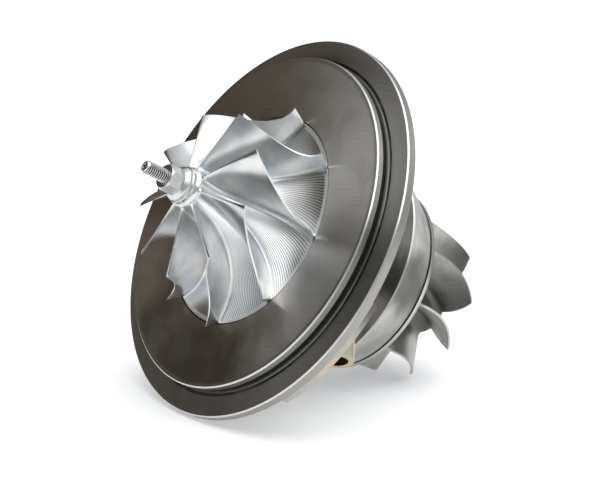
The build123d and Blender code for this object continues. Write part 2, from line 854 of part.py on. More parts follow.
save(compressor_nut(), "compressor_nut")
save(turbine_wheel(), "turbine_wheel")
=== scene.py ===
import math

import bmesh
import bpy
from mathutils import Matrix, Vector


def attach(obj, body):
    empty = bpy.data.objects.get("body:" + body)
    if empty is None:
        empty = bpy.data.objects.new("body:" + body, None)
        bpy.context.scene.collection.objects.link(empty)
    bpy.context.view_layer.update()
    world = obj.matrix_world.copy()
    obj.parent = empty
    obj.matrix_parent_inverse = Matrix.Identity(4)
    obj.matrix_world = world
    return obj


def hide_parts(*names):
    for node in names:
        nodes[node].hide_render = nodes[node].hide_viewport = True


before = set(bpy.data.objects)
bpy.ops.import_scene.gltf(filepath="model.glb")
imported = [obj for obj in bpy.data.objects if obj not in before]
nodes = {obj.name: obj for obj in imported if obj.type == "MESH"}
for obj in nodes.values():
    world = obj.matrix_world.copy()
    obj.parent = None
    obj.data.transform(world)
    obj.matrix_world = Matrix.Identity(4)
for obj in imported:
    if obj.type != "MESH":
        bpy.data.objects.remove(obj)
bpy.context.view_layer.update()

# Turbocharger cartridge. Lengths in the constants are millimetres, and MM turns them into metres.
# +Y runs along the shaft from the compressor's nose to the turbine. Angles are measured about +Y
# from +Z towards +X, in degrees.
MM = 0.001

# The photograph's camera, and the floor, which the flange's rim touches
CAMERA_PLACE = (750.96, -540.07, -80.92)
CAMERA_BACK = (0.7954, -0.6003, -0.0836)
CAMERA_UP = (-0.1756, -0.3603, 0.9162)
CAMERA_LENS = 120.24
FLOOR_NORMAL = (0.0, -0.4812, 0.8766)
FLOOR_TOUCH = (0.0, 4.7, -93.5)


def linear(code):
    """Linear colour from an sRGB hex code."""
    parts = [int(code[i:i + 2], 16) / 255 for i in (1, 3, 5)]
    return tuple(c / 12.92 if c <= 0.04045 else ((c + 0.055) / 1.055) ** 2.4 for c in parts) + (1.0,)


def add(tree, kind, sockets=None, **settings):
    """Add a node with its settings.

    A socket takes a constant, an output, or a node, which stands for its first live output.
    """
    node = tree.nodes.new(kind)
    for name, value in settings.items():
        setattr(node, name, value)
    for key, value in (sockets or {}).items():
        if isinstance(value, bpy.types.Node):
            value = next(output for output in value.outputs if output.enabled)
        if isinstance(value, bpy.types.NodeSocket):
            tree.links.new(value, node.inputs[key])
        else:
            node.inputs[key].default_value = value
    return node


def blank_material(name):
    """Material with an empty tree, and that tree."""
    material = bpy.data.materials.new(name)
    material.use_nodes = True
    material.node_tree.nodes.clear()
    return material, material.node_tree


# Camera

camera_data = bpy.data.cameras.new("camera")
camera_data.lens = CAMERA_LENS
camera_data.sensor_width = 36.0
camera_data.sensor_fit = "HORIZONTAL"
camera_data.clip_start = 0.01
camera_data.clip_end = 20.0
camera = bpy.data.objects.new("camera", camera_data)
bpy.context.scene.collection.objects.link(camera)
back = Vector(CAMERA_BACK).normalized()
right = Vector(CAMERA_UP).cross(back).normalized()
up = back.cross(right)
turned = Matrix((right, up, back)).transposed().to_4x4()
camera.matrix_world = Matrix.Translation(Vector(CAMERA_PLACE) * MM) @ turned
bpy.context.scene.camera = camera


# Materials
#
# Of a range's sockets 0 is the value, 1 and 2 are where it starts and ends, and 3 and 4 what it gives
# there. Of a mix's sockets 0 is the share of its second input, and 2 and 3 are its two numbers.

SMOOTH = {"interpolation_type": "SMOOTHSTEP"}
COLOUR = {"data_type": "RGBA"}
# Strength of every material's relief
RELIEF = 0.6


def metal(name, metallic=1.0, **sockets):
    """Metal with its tree and shader. Each socket takes a constant."""
    material, tree = blank_material(name)
    shader = add(tree, "ShaderNodeBsdfPrincipled", {"Metallic": metallic})
    for key, value in sockets.items():
        shader.inputs[key.replace("_", " ")].default_value = value
    add(tree, "ShaderNodeOutputMaterial", {"Surface": shader})
    return material, tree, shader


def shaft_coordinates(tree):
    """A point's distance from the shaft, its coordinates one by one, and the point, in metres."""
    place = add(tree, "ShaderNodeTexCoord").outputs["Object"]
    parts = add(tree, "ShaderNodeSeparateXYZ", {0: place})
    flat = add(tree, "ShaderNodeCombineXYZ", {"X": parts.outputs["X"], "Z": parts.outputs["Z"]})
    return add(tree, "ShaderNodeVectorMath", {0: flat}, operation="LENGTH"), parts, place


def turning(tree, shader, radius, parts, pitch_mm, depth_mm):
    """Uneven marks that a lathe tool leaves round the shaft, with the gloss spread across them."""
    line = add(tree, "ShaderNodeCombineXYZ", {"X": radius, "Y": parts.outputs["Y"]})
    marks = add(tree, "ShaderNodeTexNoise", {"Vector": line, "Scale": 1 / (pitch_mm * MM),
                                             "Detail": 3.0, "Roughness": 0.7})
    relief = add(tree, "ShaderNodeBump", {"Height": marks, "Distance": depth_mm * MM, "Strength": RELIEF})
    across = add(tree, "ShaderNodeTangent", direction_type="RADIAL", axis="Y")
    tree.links.new(relief.outputs[0], shader.inputs["Normal"])
    tree.links.new(across.outputs[0], shader.inputs["Tangent"])
    return marks, relief


# Lengths of the casting, as its solid has them
FLANGE_RADIUS = 93.5
FLANGE_BACK = 4.7
PILOT_RADIUS = 81.9
TAPER_FRONT = 43.5
RIB_BACK = 13.0
OIL_PAD_HEIGHT = 48.0
PORT_TILT = math.radians(31.0)
PORT_OFFSET = 41.0
PORT_PLACE = 12.5
PORT_BOSS_RADIUS = 7.2
PORT_BORE_RADIUS = 4.5
PORT_PAD_INNER = 76.5

# Ways from the shaft to where the flange was wiped, and to the wedge of its face that carries a painted
# reflection
WIPED_WAY = (0.94, 0, 0.342)
PAINTED_REFLECTION_WAY = (0.9455, 0, -0.3256)

# Angle, reach, share and colour of each dark patch of painted reflection on the tapered end. The way
# after the list is how far a patch's middle lies out from the shaft and along it, as seen from the
# origin.
REFLECTION_PATCHES = [
    (88, 16, 0.9, "#575855"),
    (52, 8, 0.5, "#6C6A66"),
    (196, 13, 0.5, "#74726D"),
    (306, 12, 0.4, "#7E7C77"),
]
PATCH_WAY = (0.68, 0.735)
PATCH_RAGGED = 0.07

# Colours of the iron. The palest face colour is a painted reflection, the darkest one painted shade in
# the O-ring's corner, and the darker pad colour painted shade.
IRON = {name: linear(code) for name, code in {
    "thick_oil": "#675D51", "thin_oil": "#B0A397", "dry_face": "#ACABA7", "wiped_face": "#D6D5D1",
    "painted_reflection_face": "#F4F3F0", "rim": "#ABA9A4", "painted_groove_shade": "#302E2B",
    "taper": "#D0D0CD", "dull_taper": "#A0A09C", "tool_marks": "#5F5D58", "smudge": "#94928C",
    "filed_edge": "#DDDCD9", "skin": "#C0BFB7", "dark_skin": "#A09E93",
    "pad_in_painted_shade": "#74726A", "pad": "#BFBDB5", "boss": "#CFC5AC", "rust": "#4A2E1E",
}.items()}


def skin_share(tree, parts):
    """Share of the casting's own skin, which reaches from the flange to the taper.

    The tops of the oil pads, which are milled, are left out of it.
    """
    along = parts.outputs["Y"]
    behind = add(tree, "ShaderNodeMapRange", {0: along, 1: (FLANGE_BACK + 0.2) * MM,
                                              2: (FLANGE_BACK + 0.6) * MM}, **SMOOTH)
    before = add(tree, "ShaderNodeMapRange", {0: along, 1: (TAPER_FRONT - 0.1) * MM,
                                              2: (TAPER_FRONT - 0.4) * MM}, **SMOOTH)
    height = add(tree, "ShaderNodeMath", {0: parts.outputs["Z"]}, operation="ABSOLUTE")
    past_ribs = add(tree, "ShaderNodeMapRange", {0: along, 1: RIB_BACK * MM, 2: (RIB_BACK + 1) * MM},
                    **SMOOTH)
    pad_top = add(tree, "ShaderNodeMath", {0: height, 1: OIL_PAD_HEIGHT * MM, 2: 0.12 * MM},
                  operation="COMPARE")
    pad_top = add(tree, "ShaderNodeMath", {0: pad_top, 1: past_ribs}, operation="MULTIPLY")
    skin = add(tree, "ShaderNodeMath", {0: behind, 1: before}, operation="MULTIPLY")
    return add(tree, "ShaderNodeMath", {0: skin, 1: pad_top}, operation="SUBTRACT", use_clamp=True)


def port_shares(tree, radius, parts, skin):
    """Shares of the coolant ports' bosses, of their milled metal with the pads, and of their bores.

    The ports mirror each other, so one side's axis serves both.
    """
    sine, cosine = math.sin(PORT_TILT), math.cos(PORT_TILT)
    foot = (PORT_OFFSET * cosine * MM, PORT_PLACE * MM, PORT_OFFSET * sine * MM)
    port_way = (sine, 0, -cosine)
    side = add(tree, "ShaderNodeMath", {0: parts.outputs["X"]}, operation="ABSOLUTE")
    folded = add(tree, "ShaderNodeCombineXYZ", {"X": side, "Y": parts.outputs["Y"],
                                                "Z": parts.outputs["Z"]})
    from_foot = add(tree, "ShaderNodeVectorMath", {0: folded, 1: foot}, operation="SUBTRACT")
    off_axis = add(tree, "ShaderNodeVectorMath", {0: from_foot, 1: port_way}, operation="CROSS_PRODUCT")
    off_axis = add(tree, "ShaderNodeVectorMath", {0: off_axis}, operation="LENGTH")
    down_axis = add(tree, "ShaderNodeVectorMath", {0: from_foot, 1: port_way}, operation="DOT_PRODUCT")
    outer = add(tree, "ShaderNodeMapRange", {0: down_axis, 1: 16 * MM, 2: 44 * MM}, **SMOOTH)
    boss = add(tree, "ShaderNodeMapRange", {0: off_axis, 1: (PORT_BOSS_RADIUS + 1.2) * MM,
                                            2: (PORT_BOSS_RADIUS + 0.8) * MM}, **SMOOTH)
    boss = add(tree, "ShaderNodeMath", {0: boss, 1: outer}, operation="MULTIPLY")
    pad = add(tree, "ShaderNodeMapRange", {0: radius, 1: (PORT_PAD_INNER - 0.5) * MM,
                                           2: (PORT_PAD_INNER - 0.1) * MM}, **SMOOTH)
    port = add(tree, "ShaderNodeMath", {0: boss, 1: pad}, operation="MAXIMUM")
    port = add(tree, "ShaderNodeMath", {0: port, 1: skin}, operation="MULTIPLY")
    bore = add(tree, "ShaderNodeMapRange", {0: off_axis, 1: (PORT_BORE_RADIUS + 0.25) * MM,
                                            2: (PORT_BORE_RADIUS + 0.1) * MM}, **SMOOTH)
    bore = add(tree, "ShaderNodeMath", {0: bore, 1: outer}, operation="MULTIPLY")
    return boss, port, bore


def flange_colour(tree, radius, parts, place, film):
    """Colour of the turned flange, whose brown oil film was wiped off one side and off the back, with a
    painted reflection in one wedge of its face and painted shade by the O-ring.
    """
    rear = add(tree, "ShaderNodeMath", {0: parts.outputs["Y"], 1: (FLANGE_BACK - 0.5) * MM},
               operation="GREATER_THAN")
    wiped = add(tree, "ShaderNodeVectorMath", {0: place, 1: WIPED_WAY}, operation="DOT_PRODUCT")
    ragged = add(tree, "ShaderNodeMath", {0: film, 1: 60 * MM}, operation="MULTIPLY")
    wiped = add(tree, "ShaderNodeMath", {0: wiped, 1: ragged}, operation="ADD")
    wiped = add(tree, "ShaderNodeMapRange", {0: wiped, 1: 30 * MM, 2: 80 * MM}, **SMOOTH)
    wiped = add(tree, "ShaderNodeMath", {0: wiped, 1: rear}, operation="MAXIMUM")

    # The film is darker towards the bottom
    towards_bottom = add(tree, "ShaderNodeMapRange", {0: parts.outputs["Z"], 1: -62 * MM, 2: 10 * MM})
    oily = add(tree, "ShaderNodeMix", {0: 0.55, 2: film.outputs[0], 3: towards_bottom.outputs[0]})
    oily = add(tree, "ShaderNodeMapRange", {0: oily, 1: 0.2, 2: 0.6}, **SMOOTH)
    oily = add(tree, "ShaderNodeMix", {0: oily, "A": IRON["thick_oil"], "B": IRON["thin_oil"]}, **COLOUR)
    border = {0: radius, 1: (PILOT_RADIUS - 2.9) * MM, 2: (PILOT_RADIUS - 1.4) * MM}
    dry = add(tree, "ShaderNodeMapRange", {**border, 4: 0.3}, **SMOOTH)
    oily = add(tree, "ShaderNodeMix", {0: dry, "A": oily, "B": IRON["dry_face"]}, **COLOUR)

    outward = add(tree, "ShaderNodeCombineXYZ", {"X": parts.outputs["X"], "Z": parts.outputs["Z"]})
    outward = add(tree, "ShaderNodeVectorMath", {0: outward}, operation="NORMALIZE")
    # A wedge of the face beside the wheel is painted nearly white, a painted reflection of the wheel's
    # bright blades.
    painted_reflection = add(tree, "ShaderNodeVectorMath", {0: outward, 1: PAINTED_REFLECTION_WAY}, operation="DOT_PRODUCT")
    painted_reflection = add(tree, "ShaderNodeMapRange", {0: painted_reflection, 1: 0.94, 2: 0.965}, **SMOOTH)
    wiped_with_reflection = add(tree, "ShaderNodeMix", {0: painted_reflection, "A": IRON["wiped_face"], "B": IRON["painted_reflection_face"]},
                **COLOUR)
    outside = add(tree, "ShaderNodeMapRange", border, **SMOOTH)
    wiped_with_reflection = add(tree, "ShaderNodeMix", {0: outside, "A": wiped_with_reflection, "B": IRON["dry_face"]}, **COLOUR)
    face = add(tree, "ShaderNodeMix", {0: wiped, "A": oily, "B": wiped_with_reflection}, **COLOUR)

    rim = add(tree, "ShaderNodeMapRange", {0: radius, 1: (FLANGE_RADIUS - 0.3) * MM,
                                           2: (FLANGE_RADIUS - 0.1) * MM}, **SMOOTH)
    face = add(tree, "ShaderNodeMix", {0: rim, "A": face, "B": IRON["rim"]}, **COLOUR)
    # A thin ring of the flange face next to the O-ring is painted nearly black, painted shade in the
    # groove's corner.
    painted_groove_shade = add(tree, "ShaderNodeMath", {0: radius, 1: (PILOT_RADIUS + 1) * MM, 2: 0.7 * MM},
                operation="COMPARE")
    painted_groove_shade = add(tree, "ShaderNodeMath", {0: painted_groove_shade, 1: rear}, operation="SUBTRACT", use_clamp=True)
    return add(tree, "ShaderNodeMix", {0: painted_groove_shade, "A": face, "B": IRON["painted_groove_shade"]}, **COLOUR)


def taper_colour(tree, place, film):
    """Colour of the tapered end, which the exhaust's heat has dulled in patches, with darker patches of
    painted reflection round it.
    """
    blotch = add(tree, "ShaderNodeMapRange", {0: film, 1: 0.36, 2: 0.64}, **SMOOTH)
    taper = add(tree, "ShaderNodeMix", {0: blotch, "A": IRON["taper"], "B": IRON["dull_taper"]}, **COLOUR)
    way_out = add(tree, "ShaderNodeVectorMath", {0: place}, operation="NORMALIZE")
    uneven = add(tree, "ShaderNodeMath", {0: film, 1: PATCH_RAGGED}, operation="MULTIPLY")
    # Each patch is painted darker, a painted reflection of the darker things round the taper.
    out, along = PATCH_WAY
    for angle, reach, share, tint in REFLECTION_PATCHES:
        turn = math.radians(angle)
        start = math.cos(math.radians(reach)) + PATCH_RAGGED / 2
        way = (math.sin(turn) * out, along, math.cos(turn) * out)
        near = add(tree, "ShaderNodeVectorMath", {0: way_out, 1: way}, operation="DOT_PRODUCT")
        near = add(tree, "ShaderNodeMath", {0: near, 1: uneven}, operation="ADD")
        near = add(tree, "ShaderNodeMapRange", {0: near, 1: start, 2: 0.999 + PATCH_RAGGED / 2, 4: share},
                   **SMOOTH)
        taper = add(tree, "ShaderNodeMix", {0: near, "A": taper, "B": linear(tint)}, **COLOUR)
    return taper


def edge_share(tree):
    """Share of the filed edges, whose faces lean between the shaft's way and square to it."""
    normal = add(tree, "ShaderNodeTexCoord").outputs["Normal"]
    lean = add(tree, "ShaderNodeSeparateXYZ", {0: normal}).outputs["Y"]
    lean = add(tree, "ShaderNodeMath", {0: lean}, operation="ABSOLUTE")
    steep = add(tree, "ShaderNodeMapRange", {0: lean, 1: 0.56, 2: 0.64}, **SMOOTH)
    shallow = add(tree, "ShaderNodeMapRange", {0: lean, 1: 0.86, 2: 0.78}, **SMOOTH)
    return add(tree, "ShaderNodeMath", {0: steep, 1: shallow}, operation="MULTIPLY")


def machined_casting():
    """Grey cast iron. Turned where it is machined, which spreads its gloss in wedges like a pan's base.

    Filed edges are bright, the sand-cast skin between the machined faces is dull and patchy, the pads
    and ports are milled and pale, with painted shade on the higher pads, and rust has browned the ports'
    bores.
    """
    material, tree, shader = metal("machined_grey_iron", Anisotropic=0.94, Anisotropic_Rotation=0.25)
    radius, parts, place = shaft_coordinates(tree)
    marks, relief = turning(tree, shader, radius, parts, 0.9, 0.012)
    film = add(tree, "ShaderNodeTexNoise", {"Vector": place, "Scale": 1 / (32 * MM), "Detail": 3.0})
    sand = add(tree, "ShaderNodeTexNoise", {"Vector": place, "Scale": 1 / (1.1 * MM), "Detail": 4.0})
    skin = skin_share(tree, parts)
    boss, port, bore = port_shares(tree, radius, parts, skin)

    tail = add(tree, "ShaderNodeMapRange", {0: parts.outputs["Y"], 1: (TAPER_FRONT - 0.5) * MM,
                                            2: (TAPER_FRONT - 0.2) * MM}, **SMOOTH)
    face = flange_colour(tree, radius, parts, place, film)
    taper = taper_colour(tree, place, film)
    worked = add(tree, "ShaderNodeMix", {0: tail, "A": face, "B": taper}, **COLOUR)
    shade = add(tree, "ShaderNodeMath", {0: marks, 1: 0.24}, operation="MULTIPLY")
    worked = add(tree, "ShaderNodeMix", {0: shade, "A": worked, "B": IRON["tool_marks"]}, **COLOUR)
    smudge = add(tree, "ShaderNodeTexNoise", {"Vector": place, "Scale": 1 / (20 * MM), "Detail": 4.0,
                                              "Distortion": 0.6})
    smudge = add(tree, "ShaderNodeMapRange", {0: smudge, 1: 0.4, 2: 0.7, 4: 0.34}, **SMOOTH)
    worked = add(tree, "ShaderNodeMix", {0: smudge, "A": worked, "B": IRON["smudge"]}, **COLOUR)
    edge = edge_share(tree)
    worked = add(tree, "ShaderNodeMix", {0: edge, "A": worked, "B": IRON["filed_edge"]}, **COLOUR)

    patch = add(tree, "ShaderNodeMix", {0: 0.45, 2: film.outputs[0], 3: sand.outputs[0]})
    patch = add(tree, "ShaderNodeMapRange", {0: patch, 1: 0.38, 2: 0.62}, **SMOOTH)
    sandy = add(tree, "ShaderNodeMix", {0: patch, "A": IRON["skin"], "B": IRON["dark_skin"]}, **COLOUR)
    colour = add(tree, "ShaderNodeMix", {0: skin, "A": worked, "B": sandy}, **COLOUR)
    # The pads higher up are painted darker as painted shade; lower down they keep their pale milled
    # colour.
    lower = add(tree, "ShaderNodeMapRange", {0: parts.outputs["Z"], 1: -20 * MM, 2: -38 * MM}, **SMOOTH)
    pale = add(tree, "ShaderNodeMix", {0: lower, "A": IRON["pad_in_painted_shade"], "B": IRON["pad"]}, **COLOUR)
    pale = add(tree, "ShaderNodeMix", {0: boss, "A": pale, "B": IRON["boss"]}, **COLOUR)
    colour = add(tree, "ShaderNodeMix", {0: port, "A": colour, "B": pale}, **COLOUR)
    colour = add(tree, "ShaderNodeMix", {0: bore, "A": colour, "B": IRON["rust"]}, **COLOUR)
    tree.links.new(colour.outputs["Result"], shader.inputs["Base Color"])

    rough = add(tree, "ShaderNodeMapRange", {0: marks, 3: 0.29, 4: 0.41})
    rough = add(tree, "ShaderNodeMix", {0: skin, 2: rough.outputs[0], 3: 0.48})
    rough = add(tree, "ShaderNodeMix", {0: bore, 2: rough.outputs[0], 3: 0.75})
    tree.links.new(rough.outputs[0], shader.inputs["Roughness"])
    grain = add(tree, "ShaderNodeMath", {0: sand, 1: skin}, operation="MULTIPLY")
    grain = add(tree, "ShaderNodeBump", {"Height": grain, "Distance": 0.08 * MM, "Strength": RELIEF,
                                         "Normal": relief})
    tree.links.new(grain.outputs[0], shader.inputs["Normal"])
    return material


def milled(name, pale, dull, lines, dark, share, fade):
    """Billet aluminium. A ball-nosed cutter leaves satin metal with ridges that follow the air's way, and
    lines of painted shade along them.

    There are so many lines to each unit of the UV's first coordinate. Along the second one they fade
    in, from one place to another, to their share.
    """
    material, tree, shader = metal(name, Roughness=0.3)
    place = add(tree, "ShaderNodeTexCoord")
    parts = add(tree, "ShaderNodeSeparateXYZ", {0: place.outputs["UV"]})
    passes = add(tree, "ShaderNodeMath", {0: parts.outputs["X"], 1: lines}, operation="MULTIPLY")
    saw = add(tree, "ShaderNodeMath", {0: passes, 1: 0.5}, operation="PINGPONG")
    # The lines are painted darker along the cutter's ridges, painted shade of their relief.
    ridge_shade = add(tree, "ShaderNodeMapRange", {0: saw, 1: 0.3, 2: 0.08}, **SMOOTH)
    start, end = fade
    shown = add(tree, "ShaderNodeMapRange", {0: parts.outputs["Y"], 1: start, 2: end, 4: share}, **SMOOTH)
    ridge_shade = add(tree, "ShaderNodeMath", {0: ridge_shade, 1: shown}, operation="MULTIPLY")
    clouds = add(tree, "ShaderNodeTexNoise", {"Vector": place.outputs["Object"], "Scale": 1 / (11 * MM),
                                              "Detail": 2.0})
    clouds = add(tree, "ShaderNodeMapRange", {0: clouds, 1: 0.3, 2: 0.7}, **SMOOTH)
    base = add(tree, "ShaderNodeMix", {0: clouds, "A": linear(pale), "B": linear(dull)}, **COLOUR)
    base = add(tree, "ShaderNodeMix", {0: ridge_shade, "A": base, "B": linear(dark)}, **COLOUR)
    tree.links.new(base.outputs["Result"], shader.inputs["Base Color"])
    return material


def plain_turned(name, base, worn, roughness):
    """Steel, alloy or bronze off a lathe, whose fine marks run round the shaft and draw its gloss out."""
    material, tree, shader = metal(name, Roughness=roughness, Anisotropic=0.5, Anisotropic_Rotation=0.25)
    radius, parts, _ = shaft_coordinates(tree)
    marks, _ = turning(tree, shader, radius, parts, 0.5, 0.008)
    marks = add(tree, "ShaderNodeMapRange", {0: marks, 1: 0.35, 2: 0.65}, **SMOOTH)
    base = add(tree, "ShaderNodeMix", {0: marks, "A": linear(base), "B": linear(worn)}, **COLOUR)
    tree.links.new(base.outputs["Result"], shader.inputs["Base Color"])
    return material


def grained(name, base, other, roughness, grain_mm, depth_mm, metallic=1.0, hub_shade=None, **sockets):
    """Metal or rubber with an even grain, as it comes from a mould, a plating bath or a press.

    The grain clouds its colour and breaks up its gloss a little. A last colour, if given, is painted on
    the skin close to the shaft as painted shade, down between the blades.
    """
    material, tree, shader = metal(name, metallic, **sockets)
    place = add(tree, "ShaderNodeTexCoord").outputs["Object"]
    grain = add(tree, "ShaderNodeTexNoise", {"Vector": place, "Scale": 1 / (grain_mm * MM),
                                             "Detail": 4.0, "Roughness": 0.6})
    clouds = add(tree, "ShaderNodeTexNoise", {"Vector": place, "Scale": 1 / (grain_mm * 14 * MM)})
    share = add(tree, "ShaderNodeMix", {0: 0.4, 2: clouds.outputs[0], 3: grain.outputs[0]})
    share = add(tree, "ShaderNodeMapRange", {0: share, 1: 0.35, 2: 0.65}, **SMOOTH)
    base = add(tree, "ShaderNodeMix", {0: share, "A": linear(base), "B": linear(other)}, **COLOUR)
    if hub_shade:
        # Close to the shaft the skin is painted darker, painted shade down between the blades.
        radius, _, _ = shaft_coordinates(tree)
        outward = add(tree, "ShaderNodeMapRange", {0: radius, 1: 13 * MM, 2: 24 * MM}, **SMOOTH)
        base = add(tree, "ShaderNodeMix", {0: outward, "A": linear(hub_shade), "B": base}, **COLOUR)
    rough = add(tree, "ShaderNodeMapRange", {0: grain, 3: roughness - 0.06, 4: roughness + 0.06})
    relief = add(tree, "ShaderNodeBump", {"Height": grain, "Distance": depth_mm * MM, "Strength": RELIEF})
    tree.links.new(base.outputs["Result"], shader.inputs["Base Color"])
    tree.links.new(rough.outputs[0], shader.inputs["Roughness"])
    tree.links.new(relief.outputs[0], shader.inputs["Normal"])
    return material


def rolled_thread():
    """Rolled alloy steel. The crests and the end's rim are burnished, and the roots and the centre hole
    are painted dark as painted shade.
    """
    material, tree, shader = metal("rolled_steel", Roughness=0.3)
    radius, parts, _ = shaft_coordinates(tree)
    crest = add(tree, "ShaderNodeMapRange", {0: radius, 1: 2.7 * MM, 2: 3.1 * MM}, **SMOOTH)
    tip = add(tree, "ShaderNodeMapRange", {0: parts.outputs["Y"], 1: -70.0 * MM, 2: -70.3 * MM}, **SMOOTH)
    rim = add(tree, "ShaderNodeMapRange", {0: radius, 1: 1.1 * MM, 2: 1.3 * MM}, **SMOOTH)
    tip = add(tree, "ShaderNodeMath", {0: tip, 1: rim}, operation="MULTIPLY")
    crest = add(tree, "ShaderNodeMath", {0: crest, 1: tip}, operation="MAXIMUM")
    # The roots and the centre hole are painted dark as painted shade; the crests and the end's rim keep
    # the bright steel.
    root_shade, burnished = linear("#4C4B48"), linear("#F2F2F0")
    base = add(tree, "ShaderNodeMix", {0: crest, "A": root_shade, "B": burnished}, **COLOUR)
    tree.links.new(base.outputs["Result"], shader.inputs["Base Color"])
    return material


casting_iron = machined_casting()
# Billet aluminium, flank-milled: satin blades with faint lines of painted shade all over them
milled_blade = milled("flank_milled_aluminium", "#E2E2DE", "#C3C8CE", 22.0, "#ABACAB", 0.16, (-1.0, -0.5))
# Billet aluminium, ball-milled: bright metal between the blades, with dark lines of painted shade towards
# the rim
milled_floor = milled("ball_milled_aluminium", "#FAFAFA", "#F0F1F2", 1.0, "#3C3F41", 0.66, (0.3, 0.72))
# Billet aluminium, turned: the sharper gloss of the wheel's front end
turned_edge = plain_turned("turned_aluminium", "#DFE0DF", "#C6C8C7", 0.25)
# Billet aluminium, fly-cut: pale and nearly white blade tips
wheel_edge = plain_turned("fly_cut_aluminium", "#F6F6F5", "#E6E7E6", 0.46)
# Nickel alloy, investment cast: dull grey with a fine grain, and darker down by the hub from painted
# shade
cast_alloy = grained("cast_nickel_alloy", "#BCBCB8", "#9C9B97", 0.44, 0.7, 0.015, hub_shade="#5A5955")
# Nickel alloy, ground: blade tips a little brighter than the cast sides
ground_edge = plain_turned("ground_nickel_alloy", "#C9C8C5", "#ABAAA7", 0.3)
# Rubber, moulded: black, with hardly any gloss
rubber = grained("moulded_rubber", "#060606", "#0C0C0C", 0.6, 0.4, 0.01, 0.0, Specular_IOR_Level=0.2)
# Steel, pressed and zinc plated: pale, with an even and slightly yellow bloom
zinc = grained("zinc_plated_steel", "#BDB8A2", "#A7A28C", 0.36, 0.5, 0.01)
# Stainless steel, pressed: mid grey with a soft gloss
pressed_steel = plain_turned("pressed_stainless_steel", "#C9C8C4", "#A3A29E", 0.3)
# Bearing bronze, cast and turned: warm yellow brown with fine rings
bronze = plain_turned("bearing_bronze", "#C79A58", "#A87F45", 0.3)
# Steel, ground: cool grey with a sharp gloss
ground_steel = plain_turned("ground_steel", "#B9BABC", "#9C9DA0", 0.25)
# Steel, drawn bright: pale and smooth, so that the flats mirror the room in blurred patches
nut_steel = grained("bright_steel", "#DADBDA", "#BEC0C0", 0.32, 1.4, 0.001)
stud_steel = rolled_thread()

finishes = {
    "bearing_housing": casting_iron, "core_plugs": zinc,
    "flange_o_ring": rubber, "seal_plate_o_ring": rubber,
    "seal_plate": pressed_steel, "seal_plate_retaining_ring": pressed_steel,
    "oil_deflector": pressed_steel, "heat_shield": pressed_steel,
    "compressor_piston_ring": pressed_steel, "turbine_piston_rings": pressed_steel,
    "bearing_retaining_rings": pressed_steel,
    "compressor_journal_bearing": bronze, "turbine_journal_bearing": bronze, "thrust_bearing": bronze,
    "shaft": ground_steel, "thrust_dowels": ground_steel, "thrust_collar": ground_steel,
    "thrust_spacer": ground_steel, "flinger_sleeve": ground_steel,
    "compressor_wheel": turned_edge, "compressor_nut": nut_steel, "turbine_wheel": cast_alloy,
}
for node_name, node in nodes.items():
    node.data.materials.clear()
    node.data.materials.append(finishes[node_name])


# Shapes

# Points closer than this are merged, in millimetres
MERGE = 0.002
# Radius at which a profile ends, just short of the shaft's axis
AXIS = 0.02


def lerp(start, end, share):
    """Value at a share of the way from start to end."""
    return start + (end - start) * share


def at(radius, place, angle):
    """Point in metres at a radius, a place along the shaft and an angle about it."""
    turn = math.radians(angle)
    return Vector((radius * math.sin(turn), place, radius * math.cos(turn))) * MM


def quarter(start, end, share, leaves_axially):
    """Point on a quarter ellipse that leaves its start along the shaft, or square to it."""
    along = math.sin(share * math.pi / 2)
    rest = 1 - math.cos(share * math.pi / 2)
    if leaves_axially:
        return lerp(start[0], end[0], rest), lerp(start[1], end[1], along)
    return lerp(start[0], end[0], along), lerp(start[1], end[1], rest)


def piece(name, shape, materials, body, stands_for=(), sharp=35):
    """Finished object from a bmesh, smooth but for its sharp edges, riding on a body."""
    mesh = bpy.data.meshes.new(name)
    shape.to_mesh(mesh)
    shape.free()
    mesh.shade_smooth()
    mesh.set_sharp_from_angle(angle=math.radians(sharp))
    made = bpy.data.objects.new(name, mesh)
    bpy.context.scene.collection.objects.link(made)
    for material in materials:
        mesh.materials.append(material)
    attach(made, body)
    if stands_for:
        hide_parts(*stands_for)


def open_rings(shape):
    """The open edges of a shape as separate rings, sorted by their place along the shaft."""
    left = {edge for edge in shape.edges if edge.is_boundary}
    rings = []
    while left:
        ring = [left.pop()]
        queue = list(ring)
        while queue:
            edge = queue.pop()
            for vert in edge.verts:
                for other in vert.link_edges:
                    if other in left:
                        left.remove(other)
                        ring.append(other)
                        queue.append(other)
        rings.append(ring)
    return sorted(rings, key=lambda edges: sum(e.verts[0].co.y for e in edges) / len(edges))


def sweep(shape, ring, corners):
    """Extrude a ring of edges through (radius, place) corners.

    A radius of None keeps each point's own.
    """
    for radius, place in corners:
        grown = bmesh.ops.extrude_edge_only(shape, edges=ring)["geom"]
        ring = [part for part in grown if isinstance(part, bmesh.types.BMEdge)]
        for vert in {vert for edge in ring for vert in edge.verts}:
            size = 1.0 if radius is None else radius * MM / math.hypot(vert.co.x, vert.co.z)
            vert.co = Vector((vert.co.x * size, place * MM, vert.co.z * size))
    return ring


# Bladed wheels. A wheel is one passage's surface, from a blade's tip down its side, over the hub
# and up the next blade, repeated round the shaft and closed in front and behind. "way" runs from
# the leading edge to the trailing one, and "height" from the hub to the tip, both from 0 to 1.
#
# A wheel's "lead" and "trail" are the parts of the way that the rounding of the blades' edges takes.
# "fillet" is the radius at their feet, "scallop" the share by which the disc is cut back between them,
# and "edge_bow" how far their trailing edges bow out. "passes" says how many times a cutter with the
# radius "cutter" went along between two blades.

# Materials of a wheel: the blades' sides, their tips with the disc's rim, the hub between them, and
# its turned end in front
SIDE, EDGE, FLOOR, NOSE = range(4)


